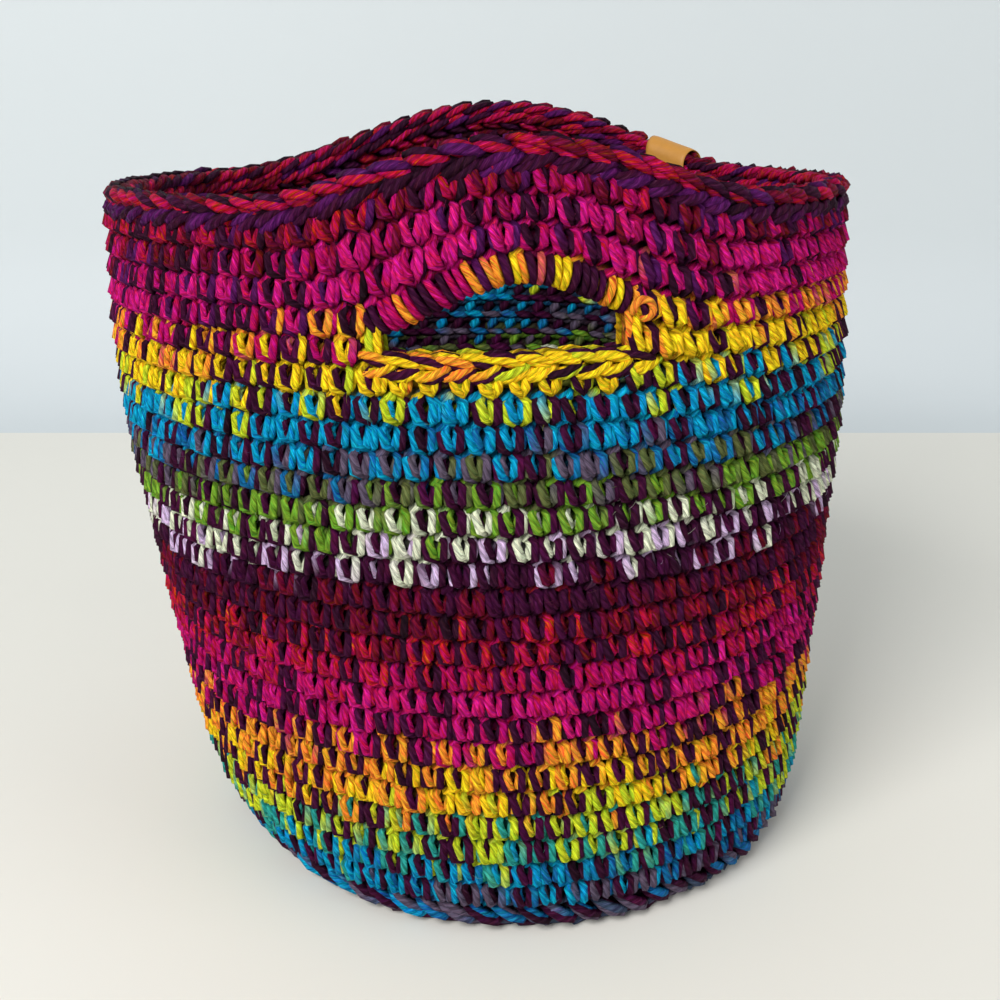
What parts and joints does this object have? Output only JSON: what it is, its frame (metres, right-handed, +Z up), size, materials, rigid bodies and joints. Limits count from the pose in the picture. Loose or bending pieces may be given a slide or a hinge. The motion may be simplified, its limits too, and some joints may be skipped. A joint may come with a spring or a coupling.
{
  "type": "crochet tote bag",
  "caption": "Round crochet tote bag with a flat base, two hand openings under arched rims and a folded label strip.",
  "frame": {"origin": "under the middle of the bag's box, on the surface that it stands on", "axes": "+Z up, -Y towards the front hand opening, +X to the right of someone who faces the front"},
  "size_m": [0.2912, 0.2918, 0.2857],
  "materials": {
    "yarn": "matt wool and acrylic yarn in rainbow colours, three strands held together",
    "label_strip": "smooth matt tan strip",
    "sewing_thread": "matt brown thread"
  },
  "bodies": {
    "root": {"crochet_body": "yarn", "label": "label_strip", "label_thread": "sewing_thread"}
  },
  "joints": []
}
